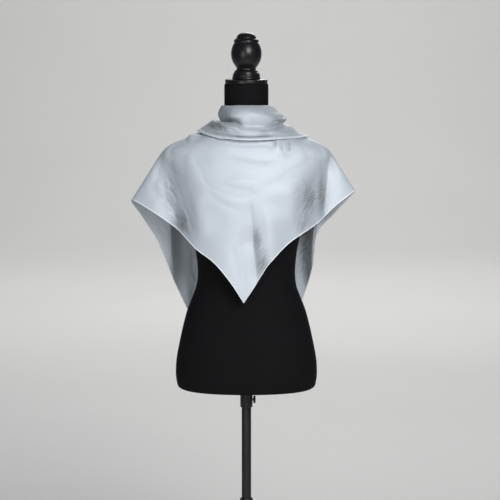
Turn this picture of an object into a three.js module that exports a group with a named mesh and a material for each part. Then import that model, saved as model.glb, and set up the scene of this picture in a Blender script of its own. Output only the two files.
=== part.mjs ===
// Evening stole of silver-blue satin, draped on a limbless dress form with a pole stand.
// Millimetres, +Z up. The form's front looks along -Y. The origin is on the floor, on the pole's axis.
import * as THREE from 'three';

// Cloth
const CLOTH = 1.4;           // thickness of the satin wall
const HEM = 2.4;             // thickness at a rolled hem
const EASE = 3;              // distance of the wall's middle from the form it rests on
const COLLAR_EASE = 5.6;     // the same for the cowl's outside, which lies on the drape
const SEAM_GAP = 0.3;        // between two pieces that meet
const YOKE_Z = 1391;         // height where the drape meets the cowl
const YOKE_GAP = 0.6;        // between their middle surfaces there
const RESTING_ROWS = 8;      // of the drape, on the form
const HANGING_ROWS = 9;      // of the drape, below the line where it leaves the form
const COWL_COLUMNS = 48;
const WRAP_ROWS = 9;
const COLLAR_ROWS = 5;

// Dress form: level sections from the bottom edge up to the top of the neck
const FORM_SECTIONS = [
  { z: 750, half: 167, front: 102, back: 110, square: 2.2 },
  { z: 768, half: 170, front: 106, back: 114, square: 2.2 },
  { z: 800, half: 170, front: 107, back: 116, square: 2.2 },
  { z: 860, half: 160, front: 103, back: 113, square: 2.2 },
  { z: 900, half: 151, front: 99, back: 108, square: 2.15 },
  { z: 936, half: 141, front: 95, back: 102, square: 2.1 },
  { z: 964, half: 130, front: 92, back: 96, square: 2.1 },
  { z: 992, half: 120, front: 89, back: 90, square: 2.1 },
  { z: 1018, half: 117, front: 88, back: 87, square: 2.1 },
  { z: 1060, half: 119.5, front: 92, back: 88, square: 2.1 },
  { z: 1100, half: 126, front: 99, back: 92, square: 2.15 },
  { z: 1150, half: 138, front: 109, back: 97, square: 2.2 },
  { z: 1200, half: 149, front: 116, back: 102, square: 2.2 },
  { z: 1240, half: 164, front: 113, back: 105, square: 2.2 },
  { z: 1280, half: 183, front: 103, back: 105, square: 2.1 },
  { z: 1306, half: 191, front: 93, back: 101, square: 2 },
  { z: 1322, half: 186, front: 87, back: 97, square: 2 },
  { z: 1334, half: 167, front: 82, back: 93, square: 2 },
  { z: 1346, half: 132, front: 77, back: 88, square: 2 },
  { z: 1358, half: 96, front: 71, back: 81, square: 2 },
  { z: 1368, half: 72, front: 64, back: 71, square: 2 },
  { z: 1380, half: 58.5, front: 57, back: 60, square: 2 },
  { z: 1394, half: 54, front: 53.5, back: 54.5, square: 2 },
  { z: 1412, half: 52.6, front: 52.6, back: 52.8, square: 2 },
  { z: 1440, half: 52.5, front: 52.5, back: 52.5, square: 2 },
  { z: 1470, half: 52.5, front: 52.5, back: 52.5, square: 2 },
];
const FORM_COLUMNS = 36;
const BOTTOM_EDGE = [{ z: 741, share: 0.92 }, { z: 744, share: 0.97 }];
const NECK_EDGE = [{ z: 1474, share: 0.975 }, { z: 1476.2, share: 0.93 }];

// The drape's outer hem, from the front corner by the left of the picture, the back and the right.
// turn is the way the cloth comes from the neck, in degrees from +X towards +Y, leaves is the height
// where it leaves the form, x, y and z are the place on the hem, and columns is the number of the
// wall's columns from here to the next row.
const HEM_STATIONS = [
  { turn: -90, leaves: 1215, x: -6, y: -133, z: 969, columns: 2 },
  { turn: -97, leaves: 1216, x: -40, y: -132, z: 1021, columns: 2 },
  { turn: -106, leaves: 1222, x: -77, y: -118, z: 1063, columns: 3 },
  { turn: -118, leaves: 1238, x: -118, y: -94, z: 1091, columns: 4 },
  { turn: -136, leaves: 1268, x: -152, y: -66, z: 1121, columns: 6 },
  { turn: -160, leaves: 1312, x: -186, y: -42, z: 1147, columns: 4 },
  { turn: -171, leaves: 1321, x: -232, y: -18, z: 1177, columns: 3 },
  { turn: -180, leaves: 1323, x: -276, y: 15, z: 1196, columns: 3 },
  { turn: -189, leaves: 1321, x: -250, y: 46, z: 1150, columns: 3 },
  { turn: -198, leaves: 1314, x: -216, y: 68, z: 1092, columns: 3 },
  { turn: -208, leaves: 1300, x: -190, y: 90, z: 1027, columns: 3 },
  { turn: -220, leaves: 1284, x: -168, y: 121, z: 963, columns: 4 },
  { turn: -236, leaves: 1262, x: -126, y: 127, z: 880, columns: 4 },
  { turn: -252, leaves: 1246, x: -68, y: 129, z: 812, columns: 4 },
  { turn: -270, leaves: 1240, x: -2, y: 130, z: 786, columns: 4 },
  { turn: -288, leaves: 1246, x: 62, y: 129, z: 812, columns: 4 },
  { turn: -304, leaves: 1262, x: 112, y: 127, z: 880, columns: 4 },
  { turn: -320, leaves: 1284, x: 146, y: 119, z: 963, columns: 3 },
  { turn: -332, leaves: 1300, x: 162, y: 96, z: 1030, columns: 3 },
  { turn: -342, leaves: 1314, x: 172, y: 76, z: 1110, columns: 3 },
  { turn: -351, leaves: 1323, x: 212, y: 46, z: 1166, columns: 3 },
  { turn: -360, leaves: 1325, x: 260, y: 15, z: 1218, columns: 3 },
  { turn: -369, leaves: 1323, x: 218, y: -16, z: 1189, columns: 4 },
  { turn: -380, leaves: 1314, x: 180, y: -38, z: 1153, columns: 6 },
  { turn: -404, leaves: 1268, x: 140, y: -70, z: 1130, columns: 4 },
  { turn: -422, leaves: 1238, x: 98, y: -95, z: 1104, columns: 3 },
  { turn: -434, leaves: 1222, x: 56, y: -118, z: 1064, columns: 2 },
  { turn: -443, leaves: 1216, x: 24, y: -132, z: 1014, columns: 2 },
  { turn: -450, leaves: 1215, x: -6, y: -133, z: 969, columns: 0 },
];
const LEFT_TIP = 7;
const RIGHT_TIP = 21;

// Folds of the drape, each a line from a to b in front view, its half-width and its depth outwards
const FRONT_FOLDS = [
  { ax: -194, az: 1290, bx: -182, bz: 1140, wide: 17, deep: -9 },
  { ax: 191, az: 1316, bx: 180, bz: 1150, wide: 15, deep: -11 },
  { ax: 8, az: 1130, bx: 34, bz: 1010, wide: 16, deep: -6 },
];
const BACK_FOLDS = [
  { ax: -120, az: 1180, bx: -130, bz: 900, wide: 16, deep: 9 },
  { ax: -88, az: 1180, bx: -86, bz: 840, wide: 15, deep: -8 },
  { ax: -34, az: 1160, bx: -30, bz: 800, wide: 20, deep: 10 },
  { ax: 26, az: 1140, bx: 30, bz: 800, wide: 17, deep: -7 },
  { ax: 78, az: 1190, bx: 84, bz: 830, wide: 16, deep: 9 },
  { ax: 118, az: 1180, bx: 122, bz: 900, wide: 14, deep: -7 },
];

// Cowl round the neck, in radius and height: its top fold, its swelling, the foot where the collar
// begins, the collar's crest, its sag and its hem
const COWL_STATIONS = [
  { turn: -180, topZ: 1424, swell: 67, swellZ: 1402, foot: 65, footZ: 1382, crest: 76, crestZ: 1387, sag: 5, hem: 116, hemZ: 1363 },
  { turn: -157, topZ: 1425, swell: 70, swellZ: 1403, foot: 68, footZ: 1380, crest: 80, crestZ: 1384, sag: 4, hem: 108, hemZ: 1359 },
  { turn: -130, topZ: 1426, swell: 74, swellZ: 1403, foot: 76, footZ: 1379, crest: 85, crestZ: 1372, sag: 1, hem: 99, hemZ: 1352 },
  { turn: -90, topZ: 1427, swell: 78, swellZ: 1403, foot: 83, footZ: 1379, crest: 89, crestZ: 1366, sag: 0, hem: 97, hemZ: 1345 },
  { turn: -50, topZ: 1426, swell: 81, swellZ: 1402, foot: 88, footZ: 1379, crest: 95, crestZ: 1369, sag: 0, hem: 104, hemZ: 1347 },
  { turn: -20, topZ: 1424, swell: 83, swellZ: 1400, foot: 91, footZ: 1379, crest: 100, crestZ: 1372, sag: 4, hem: 120, hemZ: 1350 },
  { turn: 0, topZ: 1423, swell: 83, swellZ: 1399, foot: 91, footZ: 1379, crest: 102, crestZ: 1374, sag: 7, hem: 150, hemZ: 1351 },
  { turn: 35, topZ: 1422, swell: 76, swellZ: 1401, foot: 80, footZ: 1382, crest: 91, crestZ: 1377, sag: 3, hem: 124, hemZ: 1350 },
  { turn: 90, topZ: 1421, swell: 71, swellZ: 1402, foot: 74, footZ: 1385, crest: 83, crestZ: 1377, sag: 0, hem: 99, hemZ: 1345 },
  { turn: 140, topZ: 1422, swell: 68, swellZ: 1402, foot: 69, footZ: 1384, crest: 80, crestZ: 1382, sag: 3, hem: 111, hemZ: 1354 },
];
const FOLD_RADIUS = 58;      // of the cowl's top fold

// Neck cap and finial of turned wood
const CAP = { radius: 50.5, low: 1476.5, high: 1486 };
const FINIAL_PROFILE = [
  { radius: 33.4, z: 1486.3 },
  { radius: 33.8, z: 1489.5 },
  { radius: 31.4, z: 1492.3 },
  { radius: 32.6, z: 1495.5 },
  { radius: 30.2, z: 1498.8 },
  { radius: 30.6, z: 1501 },
  { radius: 28, z: 1502.6 },
  { radius: 28.3, z: 1505.4 },
  { radius: 24.5, z: 1508.5 },
  { radius: 22.7, z: 1511 },
  { radius: 24.4, z: 1514.4 },
  { radius: 29.5, z: 1522 },
  { radius: 33.8, z: 1531 },
  { radius: 36, z: 1541 },
  { radius: 36.2, z: 1548 },
  { radius: 35.3, z: 1556 },
  { radius: 33, z: 1564 },
  { radius: 30, z: 1570.8 },
  { radius: 28.6, z: 1571.9 },
  { radius: 29.2, z: 1573.8 },
  { radius: 29, z: 1577 },
  { radius: 27.4, z: 1580.6 },
  { radius: 24.6, z: 1582.2 },
  { radius: 23.4, z: 1584.2 },
  { radius: 22, z: 1587 },
  { radius: 19.6, z: 1591 },
  { radius: 15, z: 1594.8 },
  { radius: 8, z: 1596.6 },
];
const FINIAL_TOP = 1597;

// Pole and stand of black steel
const RUNNING_GAP = 0.3;
const POLE = { radius: 11.5, low: 281, high: 740.7 };
const TUBE = { radius: 13.5, low: 24.3, high: 452 };
const CLAMP = { radius: 15.6, rim: 14.4, low: 436, high: 468 };
const SOCKET = { radius: 14.9, low: 694, high: 740.7 };
const BASE = { radius: 165, edge: 4, thick: 8, hub: 26, high: 24 };
const SOCKET_SCREW = { radius: 9, thick: 5.6, z: 712 };
const CLAMP_SCREW = { radius: 12, thick: 9, z: 448 };
const SHANK = { radius: 3, length: 1.5 };
const SOFT_EDGE = 1;         // bevel of the cap's and the screws' edges
const SEGMENTS = { cap: 40, finial: 24, steel: 24, screw: 20, base: 48 };

const SATIN = { color: 0xbec9d6, roughness: 0.38, metalness: 0 };
const JERSEY = { color: 0x17181b, roughness: 0.9, metalness: 0 };
const EBONISED = { color: 0x16161a, roughness: 0.3, metalness: 0 };
const BLACK_STEEL = { color: 0x121316, roughness: 0.45, metalness: 0.6 };

const SLOPE_REACH = 2;       // of the form's slope, up and down from its height
const LIFT_STEP = 0.2;
const RESTING_SAMPLES = 40;

const radians = (degrees) => (degrees * Math.PI) / 180;

// The cubic curve through a table's rows: a column's value at a place along another column.
function smooth(rows, along, place, column) {
  const last = rows.length - 1;
  let i = 0;
  while (i < last - 1 && place > rows[i + 1][along]) i += 1;
  const length = (k) => rows[k + 1][along] - rows[k][along];
  const slope = (k) => (rows[k + 1][column] - rows[k][column]) / length(k);
  const slopeAt = (k) => {
    if (k === 0) return slope(0);
    if (k === last) return slope(last - 1);
    return (slope(k - 1) * length(k) + slope(k) * length(k - 1)) / (length(k - 1) + length(k));
  };
  const s = (place - rows[i][along]) / length(i);
  const leaving = rows[i][column] * (1 + 2 * s) * (1 - s) ** 2 + slopeAt(i) * length(i) * s * (1 - s) ** 2;
  const arriving = rows[i + 1][column] * (3 - 2 * s) * s ** 2 - slopeAt(i + 1) * length(i) * (1 - s) * s ** 2;
  return leaving + arriving;
}

// The half-width, depth and squareness of the form at a height, on its front or its back, for the
// surface that lies outside the form's own by out.
function formSection(z, atBack, out) {
  const grown = (column) => {
    const at = (height) => smooth(FORM_SECTIONS, 'z', height, column);
    const slope = (at(z + SLOPE_REACH) - at(z - SLOPE_REACH)) / (2 * SLOPE_REACH);
    return at(z) + out * Math.hypot(1, slope);
  };
  return {
    half: grown('half'),
    depth: grown(atBack ? 'back' : 'front'),
    square: smooth(FORM_SECTIONS, 'z', z, 'square'),
  };
}

// A point of the surface that lies outside the form by out.
function formPoint(turn, z, out) {
  const [across, forth] = [Math.cos(radians(turn)), Math.sin(radians(turn))];
  const { half, depth, square } = formSection(z, forth > 0, out);
  const reach = (Math.abs(across) ** square + Math.abs(forth) ** square) ** (-1 / square);
  return new THREE.Vector3(half * reach * across, depth * reach * forth, z);
}

// How far out a point is, as a share of that surface's distance from the axis.
function shareOfForm(point, out) {
  const { half, depth, square } = formSection(point.z, point.y > 0, out);
  return ((Math.abs(point.x) / half) ** square + (Math.abs(point.y) / depth) ** square) ** (1 / square);
}

// The point itself, or the nearest level place that is clear of the form.
function clearOfForm(point, out) {
  const push = 1 / Math.min(shareOfForm(point, out), 1);
  return new THREE.Vector3(point.x * push, point.y * push, point.z);
}

// The point itself, or the place above it that is clear of the form.
function liftedOffForm(point, out) {
  const lifted = point.clone();
  while (shareOfForm(lifted, out) < 1) lifted.z += LIFT_STEP;
  return lifted;
}

// One line of the drape from the neck to the hem: it lies on the form, then hangs.
function drapeLine(station) {
  const resting = [];
  for (let sample = 0; sample <= RESTING_SAMPLES; sample += 1) {
    const z = THREE.MathUtils.lerp(YOKE_Z, station.leaves, sample / RESTING_SAMPLES);
    resting.push(formPoint(station.turn, z, EASE));
  }
  const line = new THREE.CatmullRomCurve3(resting).getSpacedPoints(RESTING_ROWS);
  const start = line[RESTING_ROWS];
  const end = new THREE.Vector3(station.x, station.y, station.z);
  const straight = end.clone().sub(start);
  const leaving = start.clone().sub(line[RESTING_ROWS - 1]).setLength(0.6 * straight.length());
  for (let row = 1; row <= HANGING_ROWS; row += 1) {
    const s = row / HANGING_ROWS;
    const bend = leaving.clone().sub(straight).multiplyScalar(s * (1 - s) ** 2);
    line.push(start.clone().addScaledVector(straight, s).add(bend));
  }
  return line;
}

// How far a fold moves a point, by its distance from the fold's line in front view.
function foldDepth(folds, point) {
  let depth = 0;
  for (const { ax, az, bx, bz, wide, deep } of folds) {
    const length = Math.hypot(bx - ax, bz - az);
    const along = ((point.x - ax) * (bx - ax) + (point.z - az) * (bz - az)) / length ** 2;
    const aside = ((point.x - ax) * (bz - az) - (point.z - az) * (bx - ax)) / length;
    const fade = THREE.MathUtils.smoothstep(along, -0.25, 0.25) * (1 - THREE.MathUtils.smoothstep(along, 1, 1.5));
    depth += deep * fade * Math.exp(-((aside / wide) ** 2));
  }
  return depth;
}

// The outward normals of a grid of points, columns first; a closed grid's last column meets its first.
function gridNormals(grid, closed) {
  const columns = grid.length;
  return grid.map((line, c) => line.map((point, r) => {
    const before = grid[closed ? (c + columns - 1) % columns : Math.max(c - 1, 0)][r];
    const after = grid[closed ? (c + 1) % columns : Math.min(c + 1, columns - 1)][r];
    const above = line[Math.max(r - 1, 0)];
    const below = line[Math.min(r + 1, line.length - 1)];
    return after.clone().sub(before).cross(below.clone().sub(above)).normalize();
  }));
}

// A closed wall round the middle surface given by a grid of points and their normals.
function wall(grid, normals, thickness, closed) {
  const columns = grid.length;
  const rows = grid[0].length;
  const positions = [];
  for (const side of [0.5, -0.5]) {
    grid.forEach((line, c) => line.forEach((point, r) => {
      const p = point.clone().addScaledVector(normals[c][r], side * thickness(r));
      positions.push(p.x, p.y, p.z);
    }));
  }
  const outer = (c, r) => (c % columns) * rows + r;
  const inner = (c, r) => columns * rows + outer(c, r);
  const faces = [];
  const quad = (a, b, c, d) => faces.push(a, b, c, a, c, d);
  const spans = closed ? columns : columns - 1;
  for (let c = 0; c < spans; c += 1) {
    for (let r = 0; r < rows - 1; r += 1) {
      quad(outer(c, r), outer(c + 1, r), outer(c + 1, r + 1), outer(c, r + 1));
      quad(inner(c, r), inner(c, r + 1), inner(c + 1, r + 1), inner(c + 1, r));
    }
    quad(outer(c + 1, 0), outer(c, 0), inner(c, 0), inner(c + 1, 0));
    quad(outer(c, rows - 1), outer(c + 1, rows - 1), inner(c + 1, rows - 1), inner(c, rows - 1));
  }
  for (let r = 0; r < rows - 1 && !closed; r += 1) {
    quad(outer(0, r), outer(0, r + 1), inner(0, r + 1), inner(0, r));
    quad(outer(columns - 1, r + 1), outer(columns - 1, r), inner(columns - 1, r), inner(columns - 1, r + 1));
  }
  const geometry = new THREE.BufferGeometry();
  geometry.setAttribute('position', new THREE.Float32BufferAttribute(positions, 3));
  geometry.setIndex(faces);
  return geometry;
}

function mesh(name, geometry, finish) {
  const piece = new THREE.Mesh(geometry, new THREE.MeshStandardMaterial(finish));
  piece.name = name;
  return piece;
}

// A point moved from an edge towards its neighbour by half a seam's gap.
function backFromSeam(edge, neighbour) {
  return edge.clone().add(neighbour.clone().sub(edge).setLength(SEAM_GAP / 2));
}

// The number of the wall's columns before a row of HEM_STATIONS.
function columnsBefore(station) {
  return HEM_STATIONS.slice(0, station).reduce((sum, row) => sum + row.columns, 0);
}

// The whole drape as one loop of lines, with its folds and clear of the form.
function drapeGrid() {
  const lines = HEM_STATIONS.map(drapeLine);
  let place = 0;
  const places = HEM_STATIONS.map((station, i) => {
    const before = HEM_STATIONS[Math.max(i - 1, 0)];
    place += Math.hypot(station.x - before.x, station.y - before.y, station.z - before.z);
    return place;
  });
  const grid = [];
  HEM_STATIONS.forEach((station, i) => {
    for (let c = 0; c < station.columns; c += 1) {
      const at = THREE.MathUtils.lerp(places[i], places[i + 1], c / station.columns);
      grid.push(lines[0].map((_, r) => {
        const ring = lines.map((line, k) => ({ place: places[k], x: line[r].x, y: line[r].y, z: line[r].z }));
        return new THREE.Vector3(...['x', 'y', 'z'].map((axis) => smooth(ring, 'place', at, axis)));
      }));
    }
  });
  const normals = gridNormals(grid, true);
  const [leftTip, rightTip] = [columnsBefore(LEFT_TIP), columnsBefore(RIGHT_TIP)];
  return grid.map((line, c) => line.map((point, r) => {
    const folds = c > leftTip && c < rightTip ? BACK_FOLDS : FRONT_FOLDS;
    const folded = point.clone().addScaledVector(normals[c][r], foldDepth(folds, point));
    return clearOfForm(folded, EASE);
  }));
}

// A stretch of the drape between two of its columns, parted from its neighbours by the seam gap.
function drapePanel(name, grid, normals, from, to) {
  const picked = [];
  for (let c = from; c <= to; c += 1) picked.push(c % grid.length);
  const last = picked.length - 1;
  const points = picked.map((c) => grid[c].map((point) => point.clone()));
  points[0] = points[0].map((point, r) => backFromSeam(point, points[1][r]));
  points[last] = points[last].map((point, r) => backFromSeam(point, points[last - 1][r]));
  const hemRow = RESTING_ROWS + HANGING_ROWS;
  const thickness = (r) => (r === hemRow ? HEM : CLOTH);
  return mesh(name, wall(points, picked.map((c) => normals[c]), thickness, false), SATIN);
}

// The cowl's section at one turn, from the yoke up inside, over the top fold and down to the hem.
function cowlSection(turn) {
  const loop = [-360, 0].flatMap((round) => COWL_STATIONS.map((row) => ({ ...row, turn: row.turn + round })));
  const at = (column) => smooth(loop, 'turn', turn, column);
  const yoke = formPoint(turn, YOKE_Z, EASE);
  const [topZ, swell, swellZ, foot, footZ] = ['topZ', 'swell', 'swellZ', 'foot', 'footZ'].map(at);
  const [crest, crestZ, sag, hem, hemZ] = ['crest', 'crestZ', 'sag', 'hem', 'hemZ'].map(at);
  const knots = [
    { radius: Math.hypot(yoke.x, yoke.y), z: YOKE_Z + YOKE_GAP },
    { radius: 55, z: 1407 },
    { radius: 54.7, z: topZ - 6 },
    { radius: FOLD_RADIUS, z: topZ },
    { radius: (FOLD_RADIUS + swell) / 2, z: topZ - 6 },
    { radius: swell, z: swellZ },
    { radius: (swell + foot) / 2 + 1, z: (swellZ + footZ) / 2 },
    { radius: foot, z: footZ },
    { radius: crest, z: crestZ },
    { radius: (crest + hem) / 2, z: (crestZ + hemZ) / 2 - sag },
    { radius: hem, z: hemZ },
  ];
  let place = 0;
  knots.forEach((knot, i) => {
    const before = knots[Math.max(i - 1, 0)];
    place += Math.hypot(knot.radius - before.radius, knot.z - before.z);
    knot.place = place;
  });
  return knots;
}

const TOP_KNOT = 3;
const FOOT_KNOT = 7;

function cowlGrid() {
  const grid = [];
  for (let c = 0; c < COWL_COLUMNS; c += 1) {
    const turn = (-360 * c) / COWL_COLUMNS;
    const knots = cowlSection(turn);
    const [top, foot, end] = [knots[TOP_KNOT], knots[FOOT_KNOT], knots[knots.length - 1]];
    const line = [];
    for (let r = 0; r <= WRAP_ROWS + COLLAR_ROWS; r += 1) {
      const place = r <= WRAP_ROWS
        ? foot.place * (r / WRAP_ROWS)
        : THREE.MathUtils.lerp(foot.place, end.place, (r - WRAP_ROWS) / COLLAR_ROWS);
      const radius = smooth(knots, 'place', place, 'radius');
      const z = smooth(knots, 'place', place, 'z');
      const point = new THREE.Vector3(radius * Math.cos(radians(turn)), radius * Math.sin(radians(turn)), z);
      line.push(place > top.place ? liftedOffForm(point, COLLAR_EASE) : point);
    }
    grid.push(line);
  }
  return grid;
}

// A ring of the cowl between two of its rows.
function cowlRing(name, grid, normals, from, to) {
  const points = grid.map((line) => line.slice(from, to + 1));
  const last = to - from;
  points.forEach((line) => {
    [line[0], line[last]] = [backFromSeam(line[0], line[1]), backFromSeam(line[last], line[last - 1])];
  });
  const hemRow = WRAP_ROWS + COLLAR_ROWS;
  const thickness = (r) => (from + r === hemRow ? HEM : CLOTH);
  return mesh(name, wall(points, normals.map((line) => line.slice(from, to + 1)), thickness, true), SATIN);
}

// A closed loft over level rings of points, flat at both ends.
function loft(rings) {
  const columns = rings[0].length;
  const positions = rings.flat().flatMap((p) => [p.x, p.y, p.z]);
  const faces = [];
  for (let r = 0; r < rings.length - 1; r += 1) {
    for (let c = 0; c < columns; c += 1) {
      const [a, b] = [r * columns + c, r * columns + ((c + 1) % columns)];
      faces.push(a, b, b + columns, a, b + columns, a + columns);
    }
  }
  const [low, high] = [positions.length / 3, positions.length / 3 + 1];
  positions.push(0, 0, rings[0][0].z, 0, 0, rings[rings.length - 1][0].z);
  for (let c = 0; c < columns; c += 1) {
    const next = (c + 1) % columns;
    faces.push(low, next, c);
    faces.push(high, (rings.length - 1) * columns + c, (rings.length - 1) * columns + next);
  }
  const geometry = new THREE.BufferGeometry();
  geometry.setAttribute('position', new THREE.Float32BufferAttribute(positions, 3));
  geometry.setIndex(faces);
  return geometry;
}

function formTorso() {
  const ring = (z, sectionZ, share) => {
    const points = [];
    for (let c = 0; c < FORM_COLUMNS; c += 1) {
      const point = formPoint((360 * c) / FORM_COLUMNS, sectionZ, 0).multiplyScalar(share);
      points.push(point.setZ(z));
    }
    return points;
  };
  const rings = [];
  const low = FORM_SECTIONS[0].z;
  const high = FORM_SECTIONS[FORM_SECTIONS.length - 1].z;
  BOTTOM_EDGE.forEach((edge) => rings.push(ring(edge.z, low, edge.share)));
  FORM_SECTIONS.forEach((section, i) => {
    rings.push(ring(section.z, section.z, 1));
    const next = FORM_SECTIONS[i + 1];
    if (next && next.z < YOKE_Z + 2) rings.push(ring((section.z + next.z) / 2, (section.z + next.z) / 2, 1));
  });
  NECK_EDGE.forEach((edge) => rings.push(ring(edge.z, high, edge.share)));
  return mesh('form_torso', loft(rings), JERSEY);
}

// A body turned on the Z axis through rows of radius and height. A solid one starts and ends on the
// axis, and a tube's profile closes on itself.
function turned(name, profile, segments, finish) {
  const geometry = new THREE.LatheGeometry(profile.map((p) => new THREE.Vector2(p.radius, p.z)), segments);
  geometry.rotateX(Math.PI / 2);
  return mesh(name, geometry, finish);
}

function solidProfile(rows) {
  const last = rows[rows.length - 1];
  return [{ radius: 0, z: rows[0].z }, ...rows, { radius: 0, z: last.z }];
}

function neckCap() {
  const { radius, low, high } = CAP;
  return turned('neck_cap', solidProfile([
    { radius: radius - SOFT_EDGE, z: low },
    { radius, z: low + SOFT_EDGE },
    { radius, z: high - SOFT_EDGE },
    { radius: radius - SOFT_EDGE, z: high },
  ]), SEGMENTS.cap, EBONISED);
}

function finial() {
  const start = { radius: 0, z: FINIAL_PROFILE[0].z };
  const profile = [start, ...FINIAL_PROFILE, { radius: 0, z: FINIAL_TOP }];
  return turned('finial', profile, SEGMENTS.finial, EBONISED);
}

// A round tube on the pole between two heights, with its end edges left square.
function tube(name, { radius, low, high }) {
  const bore = POLE.radius + RUNNING_GAP;
  return turned(name, [
    { radius: bore, z: low },
    { radius, z: low },
    { radius, z: high },
    { radius: bore, z: high },
    { radius: bore, z: low },
  ], SEGMENTS.steel, BLACK_STEEL);
}

function pole() {
  const { radius, low, high } = POLE;
  return turned('pole', solidProfile([{ radius, z: low }, { radius, z: high }]), SEGMENTS.steel, BLACK_STEEL);
}

// The clamp stands on the tube's top: wide round the tube, narrower round the pole above it.
function heightClamp() {
  const bore = POLE.radius + RUNNING_GAP;
  const wideBore = TUBE.radius + SEAM_GAP;
  const step = TUBE.high + SEAM_GAP;
  return turned('height_clamp', [
    { radius: bore, z: step },
    { radius: wideBore, z: step },
    { radius: wideBore, z: CLAMP.low },
    { radius: CLAMP.radius, z: CLAMP.low },
    { radius: CLAMP.radius, z: CLAMP.high - 3 },
    { radius: CLAMP.rim, z: CLAMP.high },
    { radius: bore, z: CLAMP.high },
    { radius: bore, z: step },
  ], SEGMENTS.steel, BLACK_STEEL);
}

function basePlate() {
  const { radius, edge, thick, hub, high } = BASE;
  return turned('base_plate', solidProfile([
    { radius: radius - edge / 4, z: 0 },
    { radius, z: edge / 4 },
    { radius, z: thick - edge / 2 },
    { radius: radius - edge, z: thick },
    { radius: hub + thick, z: thick + 1 },
    { radius: hub, z: thick + 4 },
    { radius: hub - 4, z: high },
  ]), SEGMENTS.base, BLACK_STEEL);
}

// A thumb screw that points out to the right from a round piece of the given radius.
function thumbScrew(name, { radius, thick, z }, from) {
  const profile = solidProfile([
    { radius: SHANK.radius, z: 0 },
    { radius: SHANK.radius, z: SHANK.length },
    { radius: radius - SOFT_EDGE, z: SHANK.length },
    { radius, z: SHANK.length + SOFT_EDGE },
    { radius, z: SHANK.length + thick - SOFT_EDGE },
    { radius: radius - SOFT_EDGE, z: SHANK.length + thick },
  ]);
  const screw = turned(name, profile, SEGMENTS.screw, BLACK_STEEL);
  screw.rotation.y = Math.PI / 2;
  screw.position.set(from + SEAM_GAP, 0, z);
  return screw;
}

const drape = drapeGrid();
const drapeNormals = gridNormals(drape, true);
const [leftTip, rightTip] = [columnsBefore(LEFT_TIP), columnsBefore(RIGHT_TIP)];
const cowl = cowlGrid();
const cowlNormals = gridNormals(cowl, true);

const group = new THREE.Group();
group.add(drapePanel('stole_front', drape, drapeNormals, rightTip, drape.length + leftTip));
group.add(drapePanel('stole_back', drape, drapeNormals, leftTip, rightTip));
group.add(cowlRing('stole_neck_wrap', cowl, cowlNormals, 0, WRAP_ROWS));
group.add(cowlRing('stole_collar', cowl, cowlNormals, WRAP_ROWS, WRAP_ROWS + COLLAR_ROWS));
group.add(formTorso());
group.add(neckCap());
group.add(finial());
group.add(tube('form_socket', SOCKET));
group.add(thumbScrew('socket_screw', SOCKET_SCREW, SOCKET.radius));
group.add(pole());
group.add(heightClamp());
group.add(thumbScrew('clamp_screw', CLAMP_SCREW, CLAMP.radius));
group.add(tube('lower_tube', TUBE));
group.add(basePlate());

export default group;
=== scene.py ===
"""Evening stole of silver-blue satin on a limbless dress form with a pole stand.

The tables are in millimetres and the scene is in metres, +Z up. The form's front looks along -Y.
"""

import math
from collections import namedtuple

import bpy
import numpy as np
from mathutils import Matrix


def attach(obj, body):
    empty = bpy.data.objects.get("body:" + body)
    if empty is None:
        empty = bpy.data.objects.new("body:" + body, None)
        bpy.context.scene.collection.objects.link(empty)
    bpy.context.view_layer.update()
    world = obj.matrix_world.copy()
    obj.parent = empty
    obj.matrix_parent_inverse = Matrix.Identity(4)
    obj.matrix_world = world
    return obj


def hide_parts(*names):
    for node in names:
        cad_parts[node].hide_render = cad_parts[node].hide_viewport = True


bl_info = {
    "name": "Evening stole on a dress form",
    "version": (1, 0, 0),
    "blender": (4, 5, 0),
    "location": "3D View > Sidebar > Stole",
    "description": "Satin stole, its dress form and stand, and the studio round them",
    "category": "Object",
}

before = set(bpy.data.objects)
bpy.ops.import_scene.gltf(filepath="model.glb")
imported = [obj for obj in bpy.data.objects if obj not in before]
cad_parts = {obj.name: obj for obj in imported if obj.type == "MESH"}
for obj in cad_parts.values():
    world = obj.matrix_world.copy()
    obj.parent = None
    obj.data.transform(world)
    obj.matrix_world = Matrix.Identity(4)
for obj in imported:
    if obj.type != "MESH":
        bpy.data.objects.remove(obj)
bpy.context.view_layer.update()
MM = 0.001

# The dress form's level sections, from its lower edge to the top of its neck: half-width, depth
# before and behind the pole, and squareness, which is 2 for an ellipse
FormRow = namedtuple("FormRow", "z half front back square")
FORM_ROWS = [
    FormRow(750, 167, 102, 110, 2.2),
    FormRow(768, 170, 106, 114, 2.2),
    FormRow(800, 170, 107, 116, 2.2),
    FormRow(860, 160, 103, 113, 2.2),
    FormRow(900, 151, 99, 108, 2.15),
    FormRow(936, 141, 95, 102, 2.1),
    FormRow(964, 130, 92, 96, 2.1),
    FormRow(992, 120, 89, 90, 2.1),
    FormRow(1018, 117, 88, 87, 2.1),
    FormRow(1060, 119.5, 92, 88, 2.1),
    FormRow(1100, 126, 99, 92, 2.15),
    FormRow(1150, 138, 109, 97, 2.2),
    FormRow(1200, 149, 116, 102, 2.2),
    FormRow(1240, 164, 113, 105, 2.2),
    FormRow(1280, 183, 103, 105, 2.1),
    FormRow(1306, 191, 93, 101, 2),
    FormRow(1322, 186, 87, 97, 2),
    FormRow(1334, 167, 82, 93, 2),
    FormRow(1346, 132, 77, 88, 2),
    FormRow(1358, 96, 71, 81, 2),
    FormRow(1368, 72, 64, 71, 2),
    FormRow(1380, 58.5, 57, 60, 2),
    FormRow(1394, 54, 53.5, 54.5, 2),
    FormRow(1412, 52.6, 52.6, 52.8, 2),
    FormRow(1440, 52.5, 52.5, 52.5, 2),
    FormRow(1470, 52.5, 52.5, 52.5, 2),
]

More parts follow.
